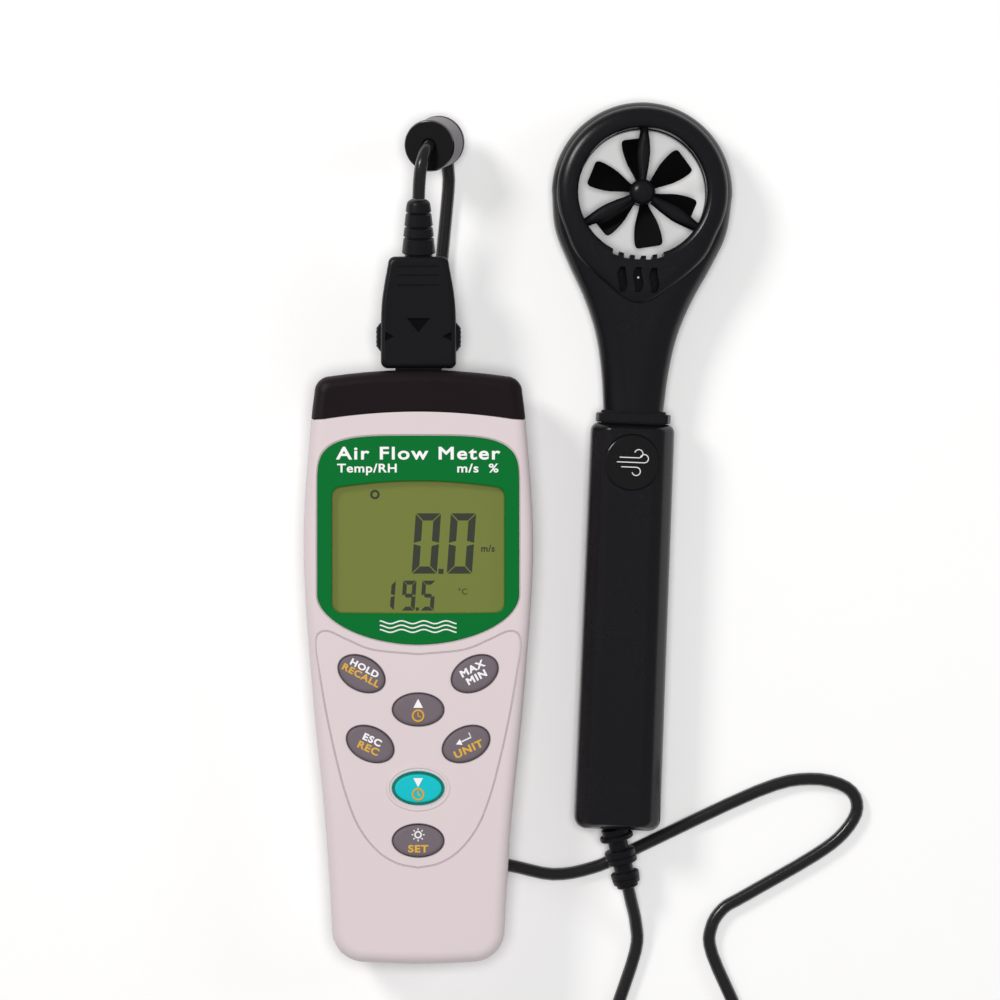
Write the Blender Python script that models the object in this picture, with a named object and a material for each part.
"""Vane anemometer: a hand-held meter, and a vane probe on a lead that plugs into the meter's top.

The set lies on its back, +Z up, with the meter's top and the vane towards +Y.
Sizes are millimetres and are scaled to metres when an object is made.
"""
import bmesh
import bpy
from math import cos, pi, radians, sin
from mathutils import Matrix, Vector

MM = 0.001
GAP = 0.3

# Meter
METER_X = -31.45
METER_LOW = -135.55
METER_HIGH = 50.7
METER_HALF_WIDTHS = ((-135.55, 26.4), (-93.0, 29.0), (-50.0, 33.2), (-4.0, 36.0), (35.0, 33.6), (50.7, 31.6))
BACK_Z = 9.0
SPLIT_Z = 20.0
FACE_Z = 33.0
WALL = 2.2
FACE_EDGE = 4.0
BACK_EDGE = 5.0
FOOT_CORNER = 10.0
CAP_LINE = 37.5
CAP_LINE_ARCH = 2.5
CAP_CORNER = 5.0
CAP_ARCH = 2.0

# Label, window and display
LABEL_LOW, LABEL_HIGH = -35.4, 30.0
LABEL_HALF = 31.6
LABEL_FOOT, LABEL_FOOT_POWER = 15.6, 1.9
LABEL_HEAD, LABEL_HEAD_POWER = 16.7, 4.0
LABEL_Z = (32.3, 33.2)
LABEL_STEPS = 14
WINDOW_LOW, WINDOW_HIGH = -25.6, 15.8
WINDOW_HALF = 27.0
DISPLAY_LIP = 0.4
GLASS_HALF, BACKLIGHT_HALF = 27.2, 28.2
GLASS_Z, BACKLIGHT_Z = (28.2, 30.4), (24.6, 27.9)

# Electronics
BOARD_Y, BOARD_Z = (-113.0, 21.0), (22.6, 24.2)
BOARD_HALF, BOARD_MARGIN = 24.0, 4.5
MAT_Y, MAT_Z = (-104.5, -36.0), (25.6, 27.4)
MAT_MARGIN = 5.5
BUZZER_Y, BUZZER_RADIUS = -4.0, 6.0
BUZZER_Z = (16.5, 22.2)

# Keys: name, place from the meter's middle, turn in degrees
KEY_SIZE = (7.8, 4.9)
SIDE_KEY_SIZE = (7.55, 5.05)
KEYS = (
    ("key_hold", -17.7, -44.5, -28.0),
    ("key_max", 17.7, -44.5, 28.0),
    ("key_up", 0.0, -55.7, 0.0),
    ("key_escape", -15.0, -66.5, -25.0),
    ("key_enter", 15.0, -66.5, 25.0),
    ("key_power", 0.0, -80.3, 0.0),
    ("key_light", 0.0, -96.7, 0.0),
)
KEY_TOP_Z = 34.3
KEY_FLANGE = 1.0
KEY_FLANGE_Z = (28.9, 30.2)
KEY_SIDES = 20

# Battery hump on the back
HUMP_LOW, HUMP_HIGH = -92.0, -24.0
HUMP_HALF = 24.3
HUMP_CORNER = 4.0
POCKET_LOW, POCKET_HIGH = -83.0, -33.0
POCKET_HALF = 21.9
POCKET_Z = 12.8
DOOR_HALF = 22.3
DOOR_HIGH = -29.3
DOOR_THICK = 1.6
DOOR_GRIPS = (-85.0, -82.0, -79.0)
CELL_RADIUS = 5.15
CELL_LENGTH = 43.5
CELL_PITCH = 10.8
CELL_LOW = -79.8
CELL_CAP = (1.9, 1.2)
CONTACTS = (("contact_lower", -81.8), ("contact_upper", -34.4))
CONTACT_HALF, CONTACT_THICK = 20.5, 0.6
CONTACT_Z = (3.0, 11.8)

# Case screws
SCREW_PLACES = ((-25.0, 27.0), (25.0, 27.0), (-19.0, -119.0), (19.0, -119.0))
SCREW_HEAD, SCREW_SHANK = 2.6, 1.3
SCREW_HEAD_Z, SCREW_TIP_Z = (10.4, 12.3), 27.5
SCREW_SEAT_Z = 12.6
SCREW_SLOT_HALF, SCREW_SLOT_Z = 0.4, 11.2
FRONT_BOSS, BACK_BOSS = 3.6, 4.2

# Plug and socket
PLUG_Z = 23.5
PLUG_LOW, PLUG_HIGH = 51.4, 86.3
PLUG_HALF_WIDTHS = ((51.4, 11.8), (62.0, 11.8), (72.8, 11.4), (86.3, 9.15))
PLUG_HALF_DEPTH = 6.2
PLUG_EDGE = 1.4
TONGUE = (7.3, 3.0)
TONGUE_Y = (42.2, 60.2)
TONGUE_POCKET_Y = 60.5
LEAD_HOLE = 2.6
SOCKET_Y = (38.0, 50.0)
SOCKET_HALF = (9.5, 5.0)
SOCKET_FLOOR = 41.5
MOUTH_HALF = (9.8, 5.3)
LATCH_Y = (56.7, 65.5)
LATCH_X = (9.7, 13.3)
LATCH_HALF_DEPTH = 3.0
RELIEF_RISE = radians(12.0)

# Choke on the lead
CHOKE_TOP = Vector((-28.3, 121.2, 24.4))
CHOKE_AXIS = Vector((0.27, 0.18, -0.945)).normalized()
CHOKE_RADIUS = 8.2
CHOKE_LENGTH = 13.3
CHOKE_CAP = 1.6
CHOKE_HOLE = 2.7
CHOKE_SLEEVE, CHOKE_CORE = (7.0, 8.0), (3.2, 6.7)

# Probe: its own frame has the vane's middle at the origin and the handle towards -Y
PROBE_X, PROBE_Y = 39.15, 107.25
PROBE_LEAN = radians(-2.27)
HEAD_RADIUS = 28.3
HEAD_Z = 19.0
HEAD_SPLIT = 9.5
HEAD_EDGE = 4.0
BORE_RADIUS = 21.6
VANE_RADIUS = 20.3
NECK_HALF_WIDTHS = (
    (-69.8, 9.4), (-57.0, 10.4), (-45.0, 12.3), (-34.0, 16.4), (-23.3, 22.0), (-12.6, 26.7), (0.0, 28.3),
)
NECK_LOW = -69.8
COLLAR_LOW, COLLAR_HIGH = -72.9, -70.1
HANDLE_LOW, HANDLE_HIGH = -201.8, -73.2
HANDLE_HALF_WIDTHS = ((-201.8, 13.65), (-140.0, 13.4), (-73.2, 13.2))
HANDLE_Z = 22.0
HANDLE_EDGE = 5.0
HANDLE_WALL = 2.0
BEZEL_RADIUS = 25.4
BEZEL_POINT = -35.6
BEZEL_Z = (19.3, 20.8)
VENT_PITCH = 5.2
VENT_HALF, VENT_Y = 1.05, (-31.4, -23.6)
BADGE_Y = -85.6
BADGE_RADIUS = 8.5
SPOKE_ANGLES = (90.0, 210.0, 330.0)
BLADE_COUNT = 6
BLADE_ANGLE = 40.0
BLADE_TIP = 17.3
BLADE_THICK, BLADE_FLATTENING = 0.35, 0.62
BLADE_STATIONS = ((1.6, 1.2, 52.0), (6.0, 2.1, 46.0), (11.0, 3.6, 38.0), (BLADE_TIP, 4.4, 30.0))
VANE_Z = 10.0
HUB_RADII, HUB_HALF = (3.0, 3.5), 2.6
AXLE_RADIUS = 0.8
AXLE_Z = (4.4, 15.9)
BEARING_RADIUS, BEARING_THICK = 1.9, 1.6
BEARINGS = (("bearing_front", 14.2), ("bearing_rear", 4.2))
BEARING_SEAT = 2.2
SENSOR_HALVES, SENSOR_Y = (2.5, 3.5), (-33.0, -24.2)
SPEED_SENSOR_Z, HUMIDITY_SENSOR_Z = (3.0, 8.0), (12.6, 15.2)
HANDLE_SCREW_Y = -188.0
HANDLE_SCREW_Z = (0.8, 2.3)
PROBE_BOARD_HALF, PROBE_BOARD_Y, PROBE_BOARD_Z = 8.0, (-180.0, -100.0), (11.4, 13.0)
PROBE_RELIEF_BASE = Vector((30.9, -96.1, 11.0))
PROBE_RELIEF_AXIS = Vector((0.22, -0.965, -0.14)).normalized()
PLUG_RELIEF_LENGTH = 17.0
PROBE_RELIEF_LENGTH = 16.0

# Lead
CORD_RADIUS = 2.0
CORD_Z = 2.1
COIL_CENTRE = (50.0, -180.0)
COIL_RADII = (16.0, 28.2)
COIL_HEIGHT = 8.2
TABLE_STEP, RAISED_STEP = 9.0, 3.4
PROBE_ROUTE = (
    (34.5, -111.9, 8.7), (35.8, -117.5, 7.4), (37.4, -125.0, 4.2), (37.3, -134.0, 2.2),
    (30.3, -155.2, 2.1),
)
METER_ROUTE = (
    (71.2, -157.0, 2.1), (61.8, -135.0, 2.1), (61.4, -126.6, 2.1), (65.2, -120.4, 2.1),
    (72.4, -116.1, 2.1), (94.4, -103.4, 2.1), (103.8, -96.0, 2.1), (108.0, -88.2, 2.1),
    (104.6, -81.7, 2.1), (92.8, -79.0, 2.1), (76.0, -83.0, 2.1), (35.0, -102.3, 2.1),
    (23.6, -107.3, 2.1), (11.0, -109.4, 2.1), (-3.6, -106.4, 2.1), (-17.5, -105.0, 2.1),
    (-45.5, -105.3, 2.1), (-53.3, -103.5, 2.1), (-57.4, -97.6, 2.1), (-58.4, -86.0, 2.1),
    (-58.6, -30.0, 2.1), (-56.2, -11.0, 2.1), (-27.4, 53.0, 2.1), (-24.4, 86.0, 2.1),
    (-22.3, 109.0, 2.1), (-22.4, 115.0, 2.15), (-22.8, 119.8, 3.8), (-23.8, 122.9, 7.2),
    (-24.7, 123.6, 11.8), (-26.5, 122.4, 18.1), (-28.3, 121.2, 24.4), (-29.6, 118.4, 28.0),
    (-30.7, 113.9, 29.3), (-31.2, 109.3, 28.3), (-31.4, 104.65, 27.2),
)

EDGE_STEPS, CORNER_STEPS, SIDE_STEPS = 4, 4, 7
MATERIALS = {
    "case_white": ((0.76, 0.70, 0.72), 0.45, 0.0),
    "satin_black": ((0.012, 0.011, 0.012), 0.38, 0.0),
    "label_green": ((0.004, 0.16, 0.03), 0.35, 0.0),
    "window_clear": ((0.55, 0.6, 0.5), 0.08, 0.0),
    "display_olive": ((0.16, 0.2, 0.03), 0.3, 0.0),
    "key_grey": ((0.18, 0.155, 0.17), 0.5, 0.0),
    "key_teal": ((0.01, 0.56, 0.63), 0.45, 0.0),
    "board_green": ((0.01, 0.1, 0.03), 0.5, 0.0),
    "rubber_grey": ((0.2, 0.2, 0.2), 0.8, 0.0),
    "steel": ((0.6, 0.6, 0.6), 0.3, 1.0),
    "brass": ((0.7, 0.5, 0.2), 0.35, 1.0),
    "cell_wrap": ((0.05, 0.06, 0.08), 0.4, 0.0),
    "ferrite_grey": ((0.05, 0.05, 0.055), 0.7, 0.0),
    "sleeve_grey": ((0.45, 0.43, 0.44), 0.35, 0.0),
    "cord_black": ((0.01, 0.01, 0.01), 0.25, 0.0),
}


# ---- Helpers -------------------------------------------------------------------------------------

def clear_scene():
    """Remove every object the scene starts with."""
    for thing in list(bpy.data.objects):
        bpy.data.objects.remove(thing, do_unlink=True)


def finish_of(slot):
    """The Principled material of one slot, made when first asked for."""
    found = bpy.data.materials.get(slot)
    if found:
        return found
    colour, roughness, metallic = MATERIALS[slot]
    made = bpy.data.materials.new(slot)
    made.use_nodes = True
    shader = made.node_tree.nodes["Principled BSDF"]
    shader.inputs["Base Color"].default_value = (*colour, 1.0)
    shader.inputs["Roughness"].default_value = roughness
    shader.inputs["Metallic"].default_value = metallic
    return made


def place(name, solid, slot, origin=(0.0, 0.0, 0.0)):
    """Make the named object from a solid in millimetres, with its origin at the given point."""
    solid.transform(Matrix.Scale(MM, 4) @ Matrix.Translation(-Vector(origin)))
    mesh = bpy.data.meshes.new(name)
    solid.to_mesh(mesh)
    solid.free()
    mesh.shade_smooth()
    mesh.set_sharp_from_angle(angle=radians(35.0))
    mesh.materials.append(finish_of(slot))
    made = bpy.data.objects.new(name, mesh)
    made.location = Vector(origin) * MM
    bpy.context.scene.collection.objects.link(made)
    return made


def between(stations, at):
    """Value of the smooth curve through the (position, value) stations, held flat past both ends."""
    last = len(stations) - 1
    if at <= stations[0][0]:
        return stations[0][1]
    if at >= stations[last][0]:
        return stations[last][1]
    index = max(i for i in range(last) if stations[i][0] <= at)

    def slope(i):
        low, high = max(i - 1, 0), min(i + 1, last)
        return (stations[high][1] - stations[low][1]) / (stations[high][0] - stations[low][0])

    (start, first), (end, second) = stations[index], stations[index + 1]
    span = end - start
    t = (at - start) / span
    return (
        (2 * t ** 3 - 3 * t ** 2 + 1) * first + (t ** 3 - 2 * t ** 2 + t) * span * slope(index)
        + (-2 * t ** 3 + 3 * t ** 2) * second + (t ** 3 - t ** 2) * span * slope(index + 1)
    )


def outline(half_width, low, high, low_radius, high_radius, low_arch=0.0, high_arch=0.0):
    """Anticlockwise outline, even about x = 0, with round corners and bowed ends."""
    corner_low = low + low_arch + low_radius
    corner_high = high - high_arch - high_radius
    low_span = half_width(corner_low) - low_radius
    high_span = half_width(corner_high) - high_radius
    right = []
    for step in range(EDGE_STEPS):
        t = step / EDGE_STEPS
        right.append((t * low_span, low + low_arch * t * t))
    for step in range(CORNER_STEPS + 1):
        turn = pi / 2 * (step / CORNER_STEPS - 1)
        right.append((low_span + low_radius * cos(turn), corner_low + low_radius * sin(turn)))
    for step in range(1, SIDE_STEPS):
        y = corner_low + (corner_high - corner_low) * step / SIDE_STEPS
        right.append((half_width(y), y))
    for step in range(CORNER_STEPS + 1):
        turn = pi / 2 * step / CORNER_STEPS
        right.append((high_span + high_radius * cos(turn), corner_high + high_radius * sin(turn)))
    for step in range(EDGE_STEPS - 1, -1, -1):
        t = step / EDGE_STEPS
        right.append((t * high_span, high - high_arch * t * t))
    left = [(-x, y) for x, y in reversed(right[1:-1])]
    return right + left


def ellipse(half_x, half_y, sides, turn=0.0, centre=(0.0, 0.0)):
    """Anticlockwise ellipse, turned by an angle and moved to its centre."""
    points = []
    for side in range(sides):
        angle = 2 * pi * side / sides
        x, y = half_x * cos(angle), half_y * sin(angle)
        points.append((centre[0] + x * cos(turn) - y * sin(turn), centre[1] + x * sin(turn) + y * cos(turn)))
    return points


def superellipse(half_x, half_y, power, turn):
    """Point of a superellipse's quarter, from its end (turn 0) to its side (turn a quarter)."""
    return half_x * abs(sin(turn)) ** (2 / power), half_y * abs(cos(turn)) ** (2 / power)


def loft(sections):
    """Closed solid through sections of equal length, each a list of points in space."""
    solid = bmesh.new()
    rings = [[solid.verts.new(point) for point in section] for section in sections]
    for lower, upper in zip(rings, rings[1:]):
        count = len(lower)
        for i in range(count):
            j = (i + 1) % count
            solid.faces.new((lower[i], lower[j], upper[j], upper[i]))
    solid.faces.new(list(reversed(rings[0])))
    solid.faces.new(rings[-1])
    bmesh.ops.recalc_face_normals(solid, faces=solid.faces[:])
    return solid


def stack(levels):
    """Loft of flat outlines given as (z, outline) pairs."""
    return loft([[(x, y, z) for x, y in points] for z, points in levels])


def slab(points, low, high):
    """Straight-sided plate with the given outline."""
    return stack([(low, points), (high, points)])


def box(x, y, z):
    """Plain block between pairs of limits."""
    return slab([(x[0], y[0]), (x[1], y[0]), (x[1], y[1]), (x[0], y[1])], z[0], z[1])


def turned(profile, sides):
    """Solid of revolution about Z of a closed (radius, z) profile that stays off the axis."""
    solid = bmesh.new()
    rings = []
    for side in range(sides):
        angle = 2 * pi * side / sides
        rings.append([solid.verts.new((r * cos(angle), r * sin(angle), z)) for r, z in profile])
    count = len(profile)
    for side in range(sides):
        here, following = rings[side], rings[(side + 1) % sides]
        for i in range(count):
            j = (i + 1) % count
            solid.faces.new((here[i], following[i], following[j], here[j]))
    bmesh.ops.recalc_face_normals(solid, faces=solid.faces[:])
    return solid


def spindle(profile, sides):
    """Solid of revolution about Z of an open (radius, z) profile, closed by a flat face at each end."""
    return stack([(z, ellipse(r, r, sides)) for r, z in profile])


def moved(solid, x=0.0, y=0.0, z=0.0, turn=0.0):
    """Turn a solid about Z, then move it."""
    solid.transform(Matrix.Translation((x, y, z)) @ Matrix.Rotation(turn, 4, "Z"))
    return solid


def aimed(solid, start, direction):
    """Move a solid made along +Z so that it starts at a point and runs along a direction."""
    turn = Vector((0.0, 0.0, 1.0)).rotation_difference(direction).to_matrix().to_4x4()
    solid.transform(Matrix.Translation(start) @ turn)
    return solid


def to_probe(solid):
    """Move a solid from the probe's own frame to its place beside the meter."""
    return moved(solid, PROBE_X, PROBE_Y, 0.0, PROBE_LEAN)


def combine(body, tools, operation="DIFFERENCE"):
    """Boolean of a solid with each of the tools in turn."""
    def temporary(solid):
        mesh = bpy.data.meshes.new("temporary")
        solid.to_mesh(mesh)
        solid.free()
        thing = bpy.data.objects.new("temporary", mesh)
        bpy.context.scene.collection.objects.link(thing)
        return thing

    base = temporary(body)
    helpers = [temporary(tool) for tool in tools]
    for helper in helpers:
        step = base.modifiers.new("cut", "BOOLEAN")
        step.operation = operation
        step.solver = "EXACT"
        step.object = helper
    graph = bpy.context.evaluated_depsgraph_get()
    result = bpy.data.meshes.new_from_object(base.evaluated_get(graph))
    solid = bmesh.new()
    solid.from_mesh(result)
    bmesh.ops.remove_doubles(solid, verts=solid.verts[:], dist=0.002)
    bmesh.ops.dissolve_degenerate(solid, edges=solid.edges[:], dist=0.001)
    for thing in [base] + helpers:
        bpy.data.objects.remove(thing, do_unlink=True)
    return solid


def edge_levels(flat_z, edge_z, radius, steps=3):
    """(z, inset) pairs from a straight side to a flat face, round a quarter circle."""
    sign = 1.0 if edge_z > flat_z else -1.0
    levels = [(flat_z, 0.0)]
    for step in range(steps + 1):
        turn = pi / 2 * step / steps
        levels.append((edge_z - sign * radius * (1 - sin(turn)), radius * (1 - cos(turn))))
    return levels


# ---- Meter ---------------------------------------------------------------------------------------

def meter_half(inset):
    """Half-width of the meter at a height, less an inset."""
    return lambda y: between(METER_HALF_WIDTHS, y) - inset


def case_outline(inset):
    """The white case below the cap line."""
    corner = max(FOOT_CORNER - inset, 1.0)
    return outline(meter_half(inset), METER_LOW + inset, CAP_LINE, corner, 0.3, 0.6, CAP_LINE_ARCH)


def cap_outline(inset):
    """The cap above the cap line, whose lower edge bows up in the middle."""
    corner = max(CAP_CORNER - inset, 0.4)
    low = CAP_LINE + GAP
    return outline(meter_half(inset), low, METER_HIGH - inset, 0.3, corner, -CAP_LINE_ARCH, CAP_ARCH)


def case_cavity(low_z, high_z):
    """Hollow of the case, open towards the cap."""
    points = outline(meter_half(WALL), METER_LOW + WALL, METER_HIGH - 6.0, FOOT_CORNER - WALL, 0.4, 0.6)
    return slab(points, low_z, high_z)


def key_ellipse(name, x, y, turn, grow):
    """Outline of one key, grown all round, at its place on the meter."""
    half = SIDE_KEY_SIZE if name in ("key_hold", "key_max", "key_escape", "key_enter") else KEY_SIZE
    return ellipse(half[0] + grow, half[1] + grow, KEY_SIDES, radians(turn), (x, y))


def label_outline(inset):
    """The green panel: square-shouldered at its head, and drawn into a half oval at its foot."""
    half, foot, head = LABEL_HALF - inset, LABEL_FOOT - inset, LABEL_HEAD - inset
    right = []
    for step in range(LABEL_STEPS + 1):
        turn = pi / 2 * step / LABEL_STEPS
        x, y = superellipse(half, foot, LABEL_FOOT_POWER, turn)
        right.append((x, LABEL_LOW + LABEL_FOOT - y))
    for step in range(LABEL_STEPS, -1, -1):
        turn = pi / 2 * step / LABEL_STEPS
        x, y = superellipse(half, head, LABEL_HEAD_POWER, turn)
        right.append((x, LABEL_HIGH - LABEL_HEAD + y))
    left = [(-x, y) for x, y in reversed(right[1:-1])]
    return right + left


def window_outline(inset):
    """The display window."""
    return outline(lambda y: WINDOW_HALF - inset, WINDOW_LOW + inset, WINDOW_HIGH - inset, 3.0, 3.0, 0.2, 1.8)


def front_shell():
    """White front half, with the label's recess, the display opening and the key holes."""
    levels = [(z, case_outline(inset)) for z, inset in edge_levels(SPLIT_Z, FACE_Z, FACE_EDGE)]
    boss = ((FRONT_BOSS, SPLIT_Z + 0.4), (FRONT_BOSS, FACE_Z - WALL + 0.5))
    bore = ((SCREW_SHANK + GAP, SPLIT_Z - 1.0), (SCREW_SHANK + GAP, SCREW_TIP_Z + 0.5))
    shell = combine(stack(levels), [case_cavity(SPLIT_Z - 1.0, FACE_Z - WALL)])
    shell = combine(shell, [moved(spindle(boss, 12), x, y) for x, y in SCREW_PLACES], "UNION")
    cuts = [slab(label_outline(-GAP), LABEL_Z[0] - GAP, FACE_Z + 2.0)]
    cuts.append(slab(window_outline(DISPLAY_LIP), FACE_Z - 4.0, FACE_Z + 2.0))
    cuts += [slab(key_ellipse(*key, GAP), FACE_Z - 4.0, FACE_Z + 2.0) for key in KEYS]
    cuts += [moved(spindle(bore, 10), x, y) for x, y in SCREW_PLACES]
    place("front_shell", moved(combine(shell, cuts), METER_X), "case_white")


def back_shell():
    """White back half, with the battery hump and the screws' counterbores."""
    top = SPLIT_Z - GAP
    levels = [(z, case_outline(inset)) for z, inset in reversed(edge_levels(top, BACK_Z, BACK_EDGE))]
    shell = combine(stack(levels), [case_cavity(BACK_Z + WALL, SPLIT_Z + 1.0)])
    hump_outline = outline(lambda y: HUMP_HALF, HUMP_LOW, HUMP_HIGH, HUMP_CORNER, HUMP_CORNER)
    hump = slab(hump_outline, 0.0, BACK_Z + WALL / 2)
    room = box((-HUMP_HALF, HUMP_HALF), (POCKET_LOW - 2.5, POCKET_HIGH + 2.5), (BACK_Z + 0.5, POCKET_Z + 1.5))
    boss = ((BACK_BOSS, BACK_Z + 0.7), (BACK_BOSS, top - 0.4))
    bosses = [moved(spindle(boss, 12), x, y) for x, y in SCREW_PLACES]
    shell = combine(shell, [hump, room] + bosses, "UNION")
    cuts = [box((-POCKET_HALF, POCKET_HALF), (POCKET_LOW, POCKET_HIGH), (-1.0, POCKET_Z))]
    seat_half = DOOR_HALF + GAP
    cuts.append(box((-seat_half, seat_half), (HUMP_LOW - 2.0, DOOR_HIGH + GAP), (-1.0, DOOR_THICK + GAP)))
    for x, y in SCREW_PLACES:
        wide, narrow = SCREW_HEAD + GAP, SCREW_SHANK + GAP
        cuts.append(moved(spindle(((wide, BACK_Z - 1.0), (wide, SCREW_SEAT_Z)), 12), x, y))
        cuts.append(moved(spindle(((narrow, SCREW_SEAT_Z - 0.6), (narrow, SPLIT_Z + 1.0)), 12), x, y))
    place("back_shell", moved(combine(shell, cuts), METER_X), "case_white")


def top_cap():
    """Black cap over the case's top end, with the socket's hole."""
    lower = [(z, cap_outline(inset)) for z, inset in reversed(edge_levels(SPLIT_Z, BACK_Z, BACK_EDGE))]
    upper = [(z, cap_outline(inset)) for z, inset in edge_levels(SPLIT_Z, FACE_Z, FACE_EDGE)[1:]]
    points = outline(meter_half(WALL), CAP_LINE - 8.0, METER_HIGH - WALL, 0.4, CAP_CORNER - WALL, 0.0, CAP_ARCH)
    hollow = slab(points, BACK_Z + WALL, FACE_Z - WALL)
    half_x, half_z = MOUTH_HALF
    mouth = box((-half_x, half_x), (METER_HIGH - 8.0, METER_HIGH + 4.0), (PLUG_Z - half_z, PLUG_Z + half_z))
    place("top_cap", moved(combine(stack(lower + upper), [hollow, mouth]), METER_X), "satin_black")


def case_screws():
    """The screws that hold the back on."""
    head_low, head_high = SCREW_HEAD_Z
    profile = (
        (SCREW_HEAD, head_low), (SCREW_HEAD, head_high),
        (SCREW_SHANK, head_high + 0.05), (SCREW_SHANK, SCREW_TIP_Z),
    )
    for number, (x, y) in enumerate(SCREW_PLACES, start=1):
        slot = box((-SCREW_SLOT_HALF, SCREW_SLOT_HALF), (-3.0, 3.0), (head_low - 1.0, SCREW_SLOT_Z))
        place(f"case_screw_{number}", moved(combine(spindle(profile, 12), [slot]), METER_X + x, y), "steel")


def label_and_window():
    """Green label panel, and the clear window set into it."""
    opening = slab(window_outline(0.0), FACE_Z - 3.0, FACE_Z + 3.0)
    panel = combine(slab(label_outline(0.0), *LABEL_Z), [opening])
    place("label_panel", moved(panel, METER_X), "label_green")
    place("window_lens", moved(slab(window_outline(GAP), LABEL_Z[0], FACE_Z), METER_X), "window_clear")


def display():
    """Display glass and the backlight under it."""
    glass = box((-GLASS_HALF, GLASS_HALF), (WINDOW_LOW - 0.5, WINDOW_HIGH + 0.5), GLASS_Z)
    light = box((-BACKLIGHT_HALF, BACKLIGHT_HALF), (WINDOW_LOW - 2.0, WINDOW_HIGH + 2.0), BACKLIGHT_Z)
    place("lcd_module", moved(glass, METER_X), "display_olive")
    place("lcd_backlight", moved(light, METER_X), "sleeve_grey")


def electronics():
    """Main board, rubber key mat, buzzer and the lead's socket."""
    def board_half(y):
        return min(BOARD_HALF, between(METER_HALF_WIDTHS, y) - BOARD_MARGIN)

    board = slab(outline(board_half, *BOARD_Y, 3.0, 3.0), *BOARD_Z)
    place("main_board", moved(board, METER_X), "board_green")
    mat = slab(outline(meter_half(MAT_MARGIN), *MAT_Y, 8.0, 4.0), *MAT_Z)
    place("keypad_mat", moved(mat, METER_X), "rubber_grey")
    buzzer = spindle([(BUZZER_RADIUS, z) for z in BUZZER_Z], 16)
    place("buzzer", moved(buzzer, METER_X, BUZZER_Y), "satin_black")
    half_x, half_z = SOCKET_HALF
    block = box((-half_x, half_x), SOCKET_Y, (PLUG_Z - half_z, PLUG_Z + half_z))
    half_x, half_z = TONGUE[0] + 0.4, TONGUE[1] + 0.4
    pocket = box((-half_x, half_x), (SOCKET_FLOOR, SOCKET_Y[1] + 2.0), (PLUG_Z - half_z, PLUG_Z + half_z))
    place("lead_socket", moved(combine(block, [pocket]), METER_X), "satin_black")


def keys():
    """The seven keys: a domed oval top with a flange that keeps it under the face."""
    for name, x, y, turn in KEYS:
        def oval(grow):
            return key_ellipse(name, 0.0, 0.0, turn, grow)
        levels = (
            (KEY_FLANGE_Z[0], oval(KEY_FLANGE)), (KEY_FLANGE_Z[1], oval(KEY_FLANGE)),
            (KEY_FLANGE_Z[1] + 0.1, oval(0.0)), (KEY_TOP_Z - 0.7, oval(0.0)),
            (KEY_TOP_Z - 0.2, oval(-0.5)), (KEY_TOP_Z, oval(-1.6)),
        )
        slot = "key_teal" if name == "key_power" else "key_grey"
        where = (METER_X + x, y, KEY_TOP_Z)
        place(name, moved(stack(levels), METER_X + x, y), slot, where)


def battery_set():
    """Sliding door, the cells under it and their contact plates."""
    plate = box((-DOOR_HALF, DOOR_HALF), (HUMP_LOW, DOOR_HIGH), (0.0, DOOR_THICK))
    grips = [box((-9.0, 9.0), (y, y + 1.0), (-1.0, 0.5)) for y in DOOR_GRIPS]
    place("battery_door", moved(combine(plate, grips), METER_X), "case_white", (METER_X, HUMP_LOW, 0.0))
    cap_radius, cap_height = CELL_CAP
    shoulder = CELL_LENGTH - cap_height
    profile = (
        (CELL_RADIUS, 0.0), (CELL_RADIUS, shoulder), (cap_radius, shoulder + 0.05), (cap_radius, CELL_LENGTH),
    )
    for number in range(4):
        x = METER_X + (number - 1.5) * CELL_PITCH
        points_up = number % 2 == 0
        start = Vector((x, CELL_LOW if points_up else CELL_LOW + CELL_LENGTH, CELL_RADIUS + DOOR_THICK + 0.6))
        direction = Vector((0.0, 1.0 if points_up else -1.0, 0.0))
        place(f"battery_{number + 1}", aimed(spindle(profile, 16), start, direction), "cell_wrap")
    for name, y in CONTACTS:
        strip = box((-CONTACT_HALF, CONTACT_HALF), (y, y + CONTACT_THICK), CONTACT_Z)
        place(name, moved(strip, METER_X), "brass")


# ---- Lead ----------------------------------------------------------------------------------------

def plug_outline(inset):
    """Plug body: full width at the meter, drawn in towards the lead."""
    def half(y):
        return between(PLUG_HALF_WIDTHS, y) - inset
    return outline(half, PLUG_LOW + inset, PLUG_HIGH - inset, 2.0, 2.2)


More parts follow.
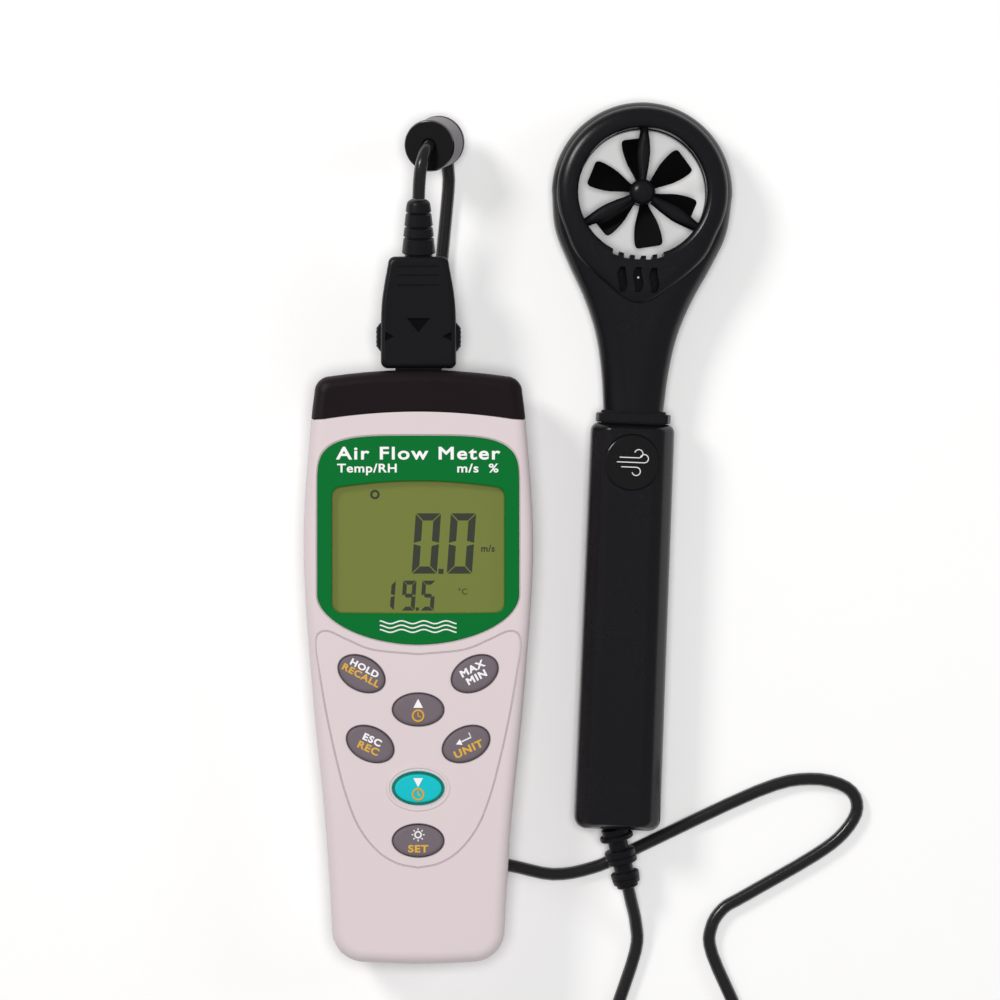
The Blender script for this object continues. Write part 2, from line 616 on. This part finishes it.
def plug():
    """Plug body in two halves, the tongue that enters the socket, and two squeeze latches."""
    def cuts():
        tongue = TONGUE[0] + GAP
        deep = (PLUG_Z - TONGUE[1] - GAP, PLUG_Z + TONGUE[1] + GAP)
        hole = (PLUG_Z - LEAD_HOLE, PLUG_Z + LEAD_HOLE)
        tools = [box((-tongue, tongue), (PLUG_LOW - 2.0, TONGUE_POCKET_Y), deep)]
        tools.append(box((-LEAD_HOLE, LEAD_HOLE), (TONGUE_POCKET_Y - 0.5, PLUG_HIGH + 2.0), hole))
        for side in (-1.0, 1.0):
            inner, outer = sorted((side * (LATCH_X[0] - 1.0), side * (LATCH_X[1] + 0.7)))
            tools.append(box((inner, outer), (LATCH_Y[0] - GAP, LATCH_Y[1] + GAP), deep))
        return tools

    top = PLUG_Z + PLUG_HALF_DEPTH
    bottom = PLUG_Z - PLUG_HALF_DEPTH
    upper = [(z, plug_outline(inset)) for z, inset in edge_levels(PLUG_Z + GAP / 2, top, PLUG_EDGE, 2)]
    lower = [(z, plug_outline(inset)) for z, inset in edge_levels(PLUG_Z - GAP / 2, bottom, PLUG_EDGE, 2)]
    lower.reverse()
    place("plug_front_shell", moved(combine(stack(upper), cuts()), METER_X), "satin_black")
    place("plug_back_shell", moved(combine(stack(lower), cuts()), METER_X), "satin_black")
    tongue = box((-TONGUE[0], TONGUE[0]), TONGUE_Y, (PLUG_Z - TONGUE[1], PLUG_Z + TONGUE[1]))
    place("plug_contacts", moved(tongue, METER_X), "brass")
    for name, side in (("latch_left", -1.0), ("latch_right", 1.0)):
        inner, outer = sorted((side * LATCH_X[0], side * LATCH_X[1]))
        tab = box((inner, outer), LATCH_Y, (PLUG_Z - LATCH_HALF_DEPTH, PLUG_Z + LATCH_HALF_DEPTH))
        middle = (METER_X + side * LATCH_X[1], sum(LATCH_Y) / 2, PLUG_Z)
        place(name, moved(tab, METER_X), "satin_black", middle)


def relief_profile(length, base, tip, ribs=3):
    """Tapered strain relief: ribs that step down towards the cord, with grooves between them."""
    profile = []
    pitch = length / ribs
    for rib in range(ribs):
        radius = base + (tip - base) * rib / (ribs - 1)
        start = rib * pitch
        profile += [(radius, start), (radius - 0.25, start + pitch * 0.68)]
        if rib < ribs - 1:
            profile += [(radius - 1.3, start + pitch * 0.72), (radius - 1.5, start + pitch * 0.97)]
    profile.append((tip - 0.9, length))
    return profile


def strain_reliefs():
    """Ribbed reliefs at the plug and at the handle's foot."""
    at_plug = spindle(relief_profile(PLUG_RELIEF_LENGTH, 5.2, 4.0), 12)
    rise = Vector((0.0, cos(RELIEF_RISE), sin(RELIEF_RISE)))
    start = (METER_X, PLUG_HIGH + 1.3, PLUG_Z)
    place("plug_relief", aimed(at_plug, start, rise), "satin_black")
    at_probe = spindle(relief_profile(PROBE_RELIEF_LENGTH, 5.0, 4.3), 12)
    place("probe_relief", aimed(at_probe, PROBE_RELIEF_BASE, PROBE_RELIEF_AXIS), "satin_black")


def choke():
    """Round choke on the lead: core, ribbed sleeve and two end caps."""
    def ring(inner, outer, start, end):
        return turned(((inner, start), (outer, start), (outer, end), (inner, end)), 24)

    low = CHOKE_CAP + GAP
    high = CHOKE_LENGTH - CHOKE_CAP - GAP
    cap_profile = (
        (CHOKE_HOLE, 0.0), (CHOKE_RADIUS - 0.6, 0.0), (CHOKE_RADIUS, 0.6),
        (CHOKE_RADIUS, CHOKE_CAP), (CHOKE_HOLE, CHOKE_CAP),
    )
    far_profile = [(r, CHOKE_LENGTH - z) for r, z in cap_profile]
    place("choke_cap_front", aimed(turned(cap_profile, 24), CHOKE_TOP, CHOKE_AXIS), "satin_black")
    place("choke_cap_rear", aimed(turned(far_profile, 24), CHOKE_TOP, CHOKE_AXIS), "satin_black")
    sleeve = ring(*CHOKE_SLEEVE, low, high)
    place("choke_sleeve", aimed(sleeve, CHOKE_TOP, CHOKE_AXIS), "sleeve_grey")
    core = ring(*CHOKE_CORE, low + 0.2, high - 0.2)
    place("choke_core", aimed(core, CHOKE_TOP, CHOKE_AXIS), "ferrite_grey")


def smooth_route(points):
    """Points along the smooth curve through a route, closer together where it leaves the table."""
    knots = [Vector(point) for point in points]
    knots = [2 * knots[0] - knots[1]] + knots + [2 * knots[-1] - knots[-2]]
    fine = []
    for a, b, c, d in zip(knots, knots[1:], knots[2:], knots[3:]):
        for step in range(24):
            t = step / 24
            fine.append(0.5 * (2 * b + (c - a) * t + (2 * a - 5 * b + 4 * c - d) * t ** 2
                               + (3 * b - a - 3 * c + d) * t ** 3))
    fine.append(knots[-2])
    kept = [fine[0]]
    travelled = 0.0
    for before, after in zip(fine, fine[1:]):
        travelled += (after - before).length
        step = RAISED_STEP if after.z > CORD_Z + 0.02 else TABLE_STEP
        if travelled >= step:
            kept.append(after)
            travelled = 0.0
    if (kept[-1] - fine[-1]).length < 1.0:
        kept.pop()
    kept.append(fine[-1])
    return kept


def cord(name, route):
    """Round cord along a route, as a bevelled curve."""
    curve = bpy.data.curves.new(name, "CURVE")
    curve.dimensions = "3D"
    curve.bevel_depth = CORD_RADIUS * MM
    curve.bevel_resolution = 2
    curve.use_fill_caps = True
    points = smooth_route(route)
    spline = curve.splines.new("POLY")
    spline.points.add(len(points) - 1)
    for slot, point in zip(spline.points, points):
        slot.co = (*(point * MM), 1.0)
    spline.use_smooth = True
    curve.materials.append(finish_of("cord_black"))
    made = bpy.data.objects.new(name, curve)
    bpy.context.scene.collection.objects.link(made)


def lead():
    """The two open stretches of the cord, and the coil of its spare length between them."""
    cord("cord_probe", PROBE_ROUTE)
    cord("cord_meter", METER_ROUTE)
    inner, outer = COIL_RADII
    low, high = 0.1, COIL_HEIGHT
    soft = 2.0
    profile = (
        (inner, low + soft), (inner + soft, low), (outer - soft, low), (outer, low + soft),
        (outer, high - soft), (outer - soft, high), (inner + soft, high), (inner, high - soft),
    )
    place("cord_coil", moved(turned(profile, 26), *COIL_CENTRE), "cord_black")


# ---- Probe ---------------------------------------------------------------------------------------

def head_outline(inset, low=NECK_LOW):
    """Round head drawn down into the neck."""
    radius = HEAD_RADIUS - inset
    points = []
    for step in range(25):
        turn = pi * step / 24
        points.append((radius * cos(turn), radius * sin(turn)))
    flank = []
    for step in range(1, 13):
        y = low * step / 12
        flank.append((between(NECK_HALF_WIDTHS, y) - inset, y))
    points += [(-x, y) for x, y in flank]
    points += list(reversed(flank))
    return points


def head_shells():
    """Front and back halves of the head and neck, hollow, with the vane's bore through them."""
    upper = edge_levels(HEAD_SPLIT + GAP / 2, HEAD_Z, HEAD_EDGE)
    lower = list(reversed(edge_levels(HEAD_SPLIT - GAP / 2, 0.0, HEAD_EDGE)))
    halves = (
        ("head_front_shell", upper, HEAD_SPLIT - 1.0, HEAD_Z - 2.0),
        ("head_back_shell", lower, 2.0, HEAD_SPLIT + 1.0),
    )
    for name, levels, low, high in halves:
        body = stack([(z, head_outline(inset)) for z, inset in levels])
        wall = spindle(((BORE_RADIUS + 1.6, low - 1.0), (BORE_RADIUS + 1.6, high + 1.0)), 36)
        hollow = combine(slab(head_outline(2.2, NECK_LOW - 2.0), low, high), [wall])
        bore = spindle(((BORE_RADIUS, -2.0), (BORE_RADIUS, HEAD_Z + 2.0)), 36)
        place(name, to_probe(combine(combine(body, [hollow]), [bore])), "satin_black")


def bezel():
    """Raised drop-shaped frame round the vane, with the sensor's vents in its point."""
    tangent = radians(-38.0)
    points = []
    for step in range(33):
        turn = tangent + (pi - 2 * tangent) * step / 32
        points.append((BEZEL_RADIUS * cos(turn), BEZEL_RADIUS * sin(turn)))
    side_x, side_y = points[0]
    flank = []
    for step in range(1, 5):
        t = step / 5
        flank.append((side_x * (1 - t) ** 1.15, side_y + (BEZEL_POINT - side_y) * t ** 0.72))
    points += [(-x, y) for x, y in flank]
    points.append((0.0, BEZEL_POINT))
    points += list(reversed(flank))
    cuts = [spindle(((VANE_RADIUS, BEZEL_Z[0] - 2.0), (VANE_RADIUS, BEZEL_Z[1] + 2.0)), 36)]
    for x in (-VENT_PITCH, 0.0, VENT_PITCH):
        cuts.append(box((x - VENT_HALF, x + VENT_HALF), VENT_Y, (BEZEL_Z[0] - 1.0, BEZEL_Z[1] + 1.0)))
    place("vane_bezel", to_probe(combine(slab(points, *BEZEL_Z), cuts)), "satin_black")


def cage(name, ring_z, spoke_z, boss):
    """Liner ring with three leaf-shaped spokes and a boss that holds a bearing."""
    ring = turned(((VANE_RADIUS, ring_z[0]), (BORE_RADIUS - GAP, ring_z[0]), (BORE_RADIUS - GAP, ring_z[1]),
                   (VANE_RADIUS, ring_z[1])), 36)
    spokes = []
    for angle in SPOKE_ANGLES:
        leaf = ((1.2, 0.8), (6.0, 1.2), (12.0, 1.9), (17.0, 1.4), (20.9, 1.0))
        right = [(r, -half) for r, half in leaf]
        left = [(r, half) for r, half in reversed(leaf)]
        spokes.append(moved(slab(right + left, *spoke_z), turn=radians(angle)))
    body = combine(ring, spokes + [spindle(boss, 20)], "UNION")
    below, above = (3.0, 0.2) if name == "cage_front" else (0.2, 3.0)
    hole = spindle(((BEARING_SEAT, spoke_z[0] - below), (BEARING_SEAT, spoke_z[1] + above)), 16)
    place(name, to_probe(combine(body, [hole])), "satin_black")


def vane():
    """Impeller of twisted blades on its axle, with a bearing in each cage."""
    cage("cage_front", (13.4, 18.6), (14.2, 16.2), ((4.0, 14.0), (4.2, 15.6), (3.6, 17.4), (1.8, 18.4)))
    cage("cage_rear", (0.8, 6.6), (3.8, 5.8), ((2.4, 1.8), (4.0, 2.6), (4.0, 6.0)))
    bore = AXLE_RADIUS + 0.1
    for name, low in BEARINGS:
        high = low + BEARING_THICK
        ring = turned(((bore, low), (BEARING_RADIUS, low), (BEARING_RADIUS, high), (bore, high)), 16)
        place(name, to_probe(ring), "brass")
    centre = (PROBE_X, PROBE_Y, VANE_Z)
    place("axle", to_probe(spindle([(AXLE_RADIUS, z) for z in AXLE_Z], 16)), "steel", centre)
    low, high = VANE_Z - HUB_HALF, VANE_Z + HUB_HALF
    end, middle = HUB_RADII
    hub = turned(((bore, low), (end, low), (middle, VANE_Z), (end, high), (bore, high)), 18)
    blades = []
    for number in range(BLADE_COUNT):
        sections = []
        for radius, half, pitch in BLADE_STATIONS:
            across, along = cos(radians(pitch)), sin(radians(pitch))
            edge = half / across * 0.98
            section = []
            for side, face in ((-1, -1), (1, -1), (1, 1), (-1, 1)):
                y = side * edge * across - face * BLADE_THICK * along
                z = VANE_Z + (side * edge * along + face * BLADE_THICK * across) * BLADE_FLATTENING
                section.append((radius, y, z))
            sections.append(section)
        turn = radians(BLADE_ANGLE + 360.0 * number / BLADE_COUNT)
        blades.append(moved(loft(sections), turn=turn))
    place("impeller", to_probe(combine(hub, blades, "UNION")), "satin_black", centre)


def sensors():
    """Speed pickup beside the bore, and the humidity sensor under the vents."""
    speed, humidity = SENSOR_HALVES
    place("speed_sensor", to_probe(box((-speed, speed), SENSOR_Y, SPEED_SENSOR_Z)), "ferrite_grey")
    place("humidity_sensor", to_probe(box((-humidity, humidity), SENSOR_Y, HUMIDITY_SENSOR_Z)), "case_white")


def collar():
    """Ring between the neck and the handle."""
    points = outline(lambda y: 11.75, COLLAR_LOW, COLLAR_HIGH, 0.5, 0.5)
    place("neck_collar", to_probe(stack([(2.6, points), (18.4, points)])), "satin_black")


def handle_outline(inset):
    """Handle in plan."""
    return outline(lambda y: between(HANDLE_HALF_WIDTHS, y) - inset, HANDLE_LOW + inset, HANDLE_HIGH - inset,
                   max(3.8 - inset, 0.5), max(2.6 - inset, 0.4))


def handle():
    """Two hollow handle halves, the board in them, the badge and the screw in the back."""
    middle = HANDLE_Z / 2
    upper = (
        (middle + GAP / 2, 0.0), (middle + 5.0, 0.2), (HANDLE_Z - 2.2, 1.6),
        (HANDLE_Z - 0.5, 4.8), (HANDLE_Z, 5.6),
    )
    lower = list(reversed(edge_levels(middle - GAP / 2, 0.0, HANDLE_EDGE)))
    seat_radius = BADGE_RADIUS + GAP
    badge_seat = spindle(((seat_radius, HANDLE_Z - 1.0), (seat_radius, HANDLE_Z + 2.0)), 28)
    hollow = slab(handle_outline(HANDLE_WALL + 0.6), middle - 1.0, HANDLE_Z - HANDLE_WALL - 1.0)
    front = combine(stack([(z, handle_plan(inset)) for z, inset in upper]),
                    [hollow, moved(badge_seat, 0.0, BADGE_Y)])
    place("handle_front_shell", to_probe(front), "satin_black")
    back = combine(stack([(z, handle_outline(inset)) for z, inset in lower]),
                   [slab(handle_outline(HANDLE_WALL + 0.6), HANDLE_WALL, middle + 1.0)])
    low, high = HANDLE_SCREW_Z
    wide, narrow = SCREW_HEAD + GAP, SCREW_SHANK + GAP
    boss = moved(spindle(((BACK_BOSS - 0.2, 1.0), (BACK_BOSS - 0.2, middle - 0.6)), 12), 0.0, HANDLE_SCREW_Y)
    counterbore = moved(spindle(((wide, -1.0), (wide, high + GAP)), 12), 0.0, HANDLE_SCREW_Y)
    hole = moved(spindle(((narrow, high - GAP), (narrow, middle + 1.0)), 12), 0.0, HANDLE_SCREW_Y)
    back = combine(combine(back, [boss], "UNION"), [counterbore, hole])
    place("handle_back_shell", to_probe(back), "satin_black")
    profile = ((SCREW_HEAD, low), (SCREW_HEAD, high), (SCREW_SHANK, high + 0.05), (SCREW_SHANK, middle + 3.0))
    place("handle_screw", to_probe(moved(spindle(profile, 12), 0.0, HANDLE_SCREW_Y)), "steel")
    board = box((-PROBE_BOARD_HALF, PROBE_BOARD_HALF), PROBE_BOARD_Y, PROBE_BOARD_Z)
    place("probe_board", to_probe(board), "board_green")
    edge = HANDLE_Z + 0.1
    profile = ((BADGE_RADIUS, HANDLE_Z - 0.7), (BADGE_RADIUS, edge), (BADGE_RADIUS - 0.3, edge + 0.2))
    place("handle_badge", to_probe(moved(spindle(profile, 28), 0.0, BADGE_Y)), "satin_black")


def handle_plan(inset):
    """Front plan of the handle: its sides draw in with the chamfer, its ends only a little."""
    ends = inset * 0.45
    return outline(lambda y: between(HANDLE_HALF_WIDTHS, y) - inset, HANDLE_LOW + ends, HANDLE_HIGH - ends,
                   max(3.8 - ends, 0.5), max(2.6 - ends, 0.4))


def build():
    """Make the whole set."""
    clear_scene()
    front_shell()
    back_shell()
    top_cap()
    case_screws()
    label_and_window()
    display()
    electronics()
    keys()
    battery_set()
    plug()
    strain_reliefs()
    choke()
    lead()
    head_shells()
    bezel()
    vane()
    sensors()
    collar()
    handle()


build()
